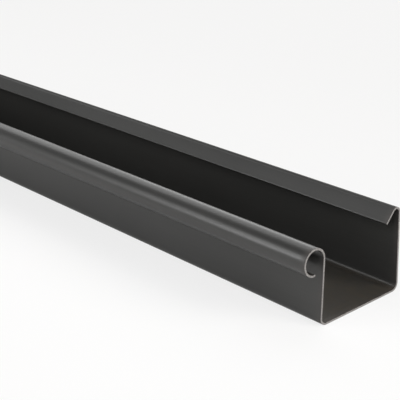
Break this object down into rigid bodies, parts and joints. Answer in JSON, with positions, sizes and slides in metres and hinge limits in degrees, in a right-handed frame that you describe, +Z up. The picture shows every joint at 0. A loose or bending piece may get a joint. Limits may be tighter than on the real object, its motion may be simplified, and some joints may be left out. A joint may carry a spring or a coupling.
{
  "type": "gutter section",
  "caption": "Straight length of box gutter, a channel with a rolled open bead along the front edge and a taller rear wall whose top folds into a lip.",
  "frame": {"origin": "at mid-length, on the plane that the floor of the channel stands on, midway between the foremost point of the bead and the rearmost point of the rear wall", "axes": "+X along the gutter, towards the saw-cut end that the picture shows, -Y towards the bead at the front, +Z up out of the open channel"},
  "size_m": [2, 0.0986, 0.0644],
  "materials": {
    "upvc": "satin"
  },
  "bodies": {
    "root": {"gutter_section": "upvc"}
  },
  "joints": []
}
